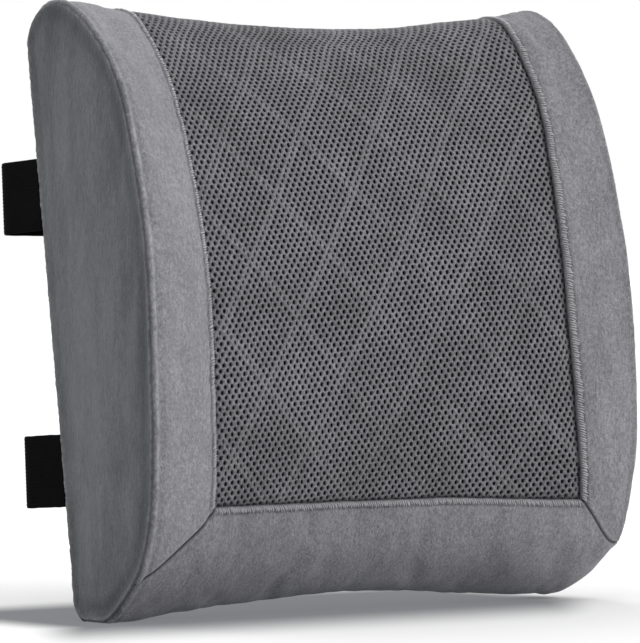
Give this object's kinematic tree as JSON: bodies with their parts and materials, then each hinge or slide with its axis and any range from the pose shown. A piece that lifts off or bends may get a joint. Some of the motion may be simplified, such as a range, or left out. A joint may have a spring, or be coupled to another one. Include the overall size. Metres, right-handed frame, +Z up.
{
  "type": "lumbar support cushion",
  "caption": "Memory foam lumbar cushion in a zipped velour cover with a mesh front, and buckled webbing loops behind it for a chair back.",
  "frame": {"origin": "middle of the box, on the surface that the cushion stands on", "axes": "+X along the width, +Y towards the flat back and its straps, +Z up; the cushion stands on its lower side and leans back 8 degrees"},
  "size_m": [0.3306, 0.1486, 0.3227],
  "materials": {
    "foam": "open-cell memory foam",
    "liner": "thin white knit",
    "mesh": "grey air-mesh knit with a diamond pattern",
    "velour": "short-pile grey velour",
    "velour_side": "short-pile dark grey velour, brushed",
    "zipper_tape": "woven tape",
    "zipper_coil": "nylon coil",
    "zipper_metal": "dark coated metal",
    "webbing": "ribbed elastic webbing",
    "buckle": "moulded acetal, fine texture",
    "thread": "polyester thread"
  },
  "bodies": {
    "cushion": {"foam_core": "foam", "inner_liner": "liner", "mesh_front_panel": "mesh", "border_left": "velour", "border_right": "velour", "border_bottom": "velour", "gusset_left": "velour_side", "gusset_right": "velour_side", "back_panel_upper": "velour_side", "back_panel_lower": "velour_side", "zipper_tape_upper": "zipper_tape", "zipper_tape_lower": "zipper_tape", "zipper_coil_upper": "zipper_coil", "zipper_coil_lower": "zipper_coil", "zipper_end_stops": "zipper_metal", "upper_strap_left": "webbing", "upper_strap_right": "webbing", "upper_strap_bartacks": "thread", "upper_buckle_socket": "buckle", "lower_strap_left": "webbing", "lower_strap_right": "webbing", "lower_strap_bartacks": "thread", "lower_buckle_socket": "buckle"},
    "zipper_slider": {"zipper_slider": "zipper_metal"},
    "zipper_pull": {"zipper_pull": "zipper_metal"},
    "upper_plug": {"upper_buckle_plug": "buckle"},
    "upper_prong_high": {"upper_buckle_prong_high": "buckle"},
    "upper_prong_low": {"upper_buckle_prong_low": "buckle"},
    "upper_keeper": {"upper_strap_keeper": "buckle"},
    "lower_plug": {"lower_buckle_plug": "buckle"},
    "lower_prong_high": {"lower_buckle_prong_high": "buckle"},
    "lower_prong_low": {"lower_buckle_prong_low": "buckle"},
    "lower_keeper": {"lower_strap_keeper": "buckle"}
  },
  "joints": [
    {"name": "zipper_slide", "type": "slide", "parent": "cushion", "child": "zipper_slider", "axis": [-1, 0, 0], "range_m": [0, 0.27]},
    {"name": "zipper_pull_swing", "type": "hinge", "parent": "zipper_slider", "child": "zipper_pull", "pos_m": [0.1352, 0.01896, 0.14965], "axis": [0, -0.1433, -0.9897], "range_deg": [0, 175]},
    {"name": "upper_buckle_release", "type": "slide", "parent": "cushion", "child": "upper_plug", "axis": [1, 0, 0], "range_m": [0, 0.03], "deforming": ["upper_strap_right"]},
    {"name": "upper_prong_high_press", "type": "hinge", "parent": "upper_plug", "child": "upper_prong_high", "pos_m": [0.009, 0.06761, 0.23544], "axis": [0, -0.9981, 0.061], "range_deg": [0, 7], "stiffness_Nm_per_rad": 0.6},
    {"name": "upper_prong_low_press", "type": "hinge", "parent": "upper_plug", "child": "upper_prong_low", "pos_m": [0.009, 0.06562, 0.2029], "axis": [0, 0.9981, -0.061], "range_deg": [0, 7], "stiffness_Nm_per_rad": 0.6},
    {"name": "upper_keeper_slide", "type": "slide", "parent": "cushion", "child": "upper_keeper", "axis": [1, 0, 0], "range_m": [-0.01, 0.018]},
    {"name": "lower_buckle_release", "type": "slide", "parent": "cushion", "child": "lower_plug", "axis": [1, 0, 0], "range_m": [0, 0.03], "deforming": ["lower_strap_right"]},
    {"name": "lower_prong_high_press", "type": "hinge", "parent": "lower_plug", "child": "lower_prong_high", "pos_m": [0.009, 0.04676, 0.09144], "axis": [0, -0.9981, 0.061], "range_deg": [0, 7], "stiffness_Nm_per_rad": 0.6},
    {"name": "lower_prong_low_press", "type": "hinge", "parent": "lower_plug", "child": "lower_prong_low", "pos_m": [0.009, 0.04477, 0.0589], "axis": [0, 0.9981, -0.061], "range_deg": [0, 7], "stiffness_Nm_per_rad": 0.6},
    {"name": "lower_keeper_slide", "type": "slide", "parent": "cushion", "child": "lower_keeper", "axis": [1, 0, 0], "range_m": [-0.01, 0.018]}
  ],
  "couplings": [
    {"joint": "upper_prong_low_press", "follows": "upper_prong_high_press", "ratio": 1},
    {"joint": "lower_prong_low_press", "follows": "lower_prong_high_press", "ratio": 1}
  ]
}
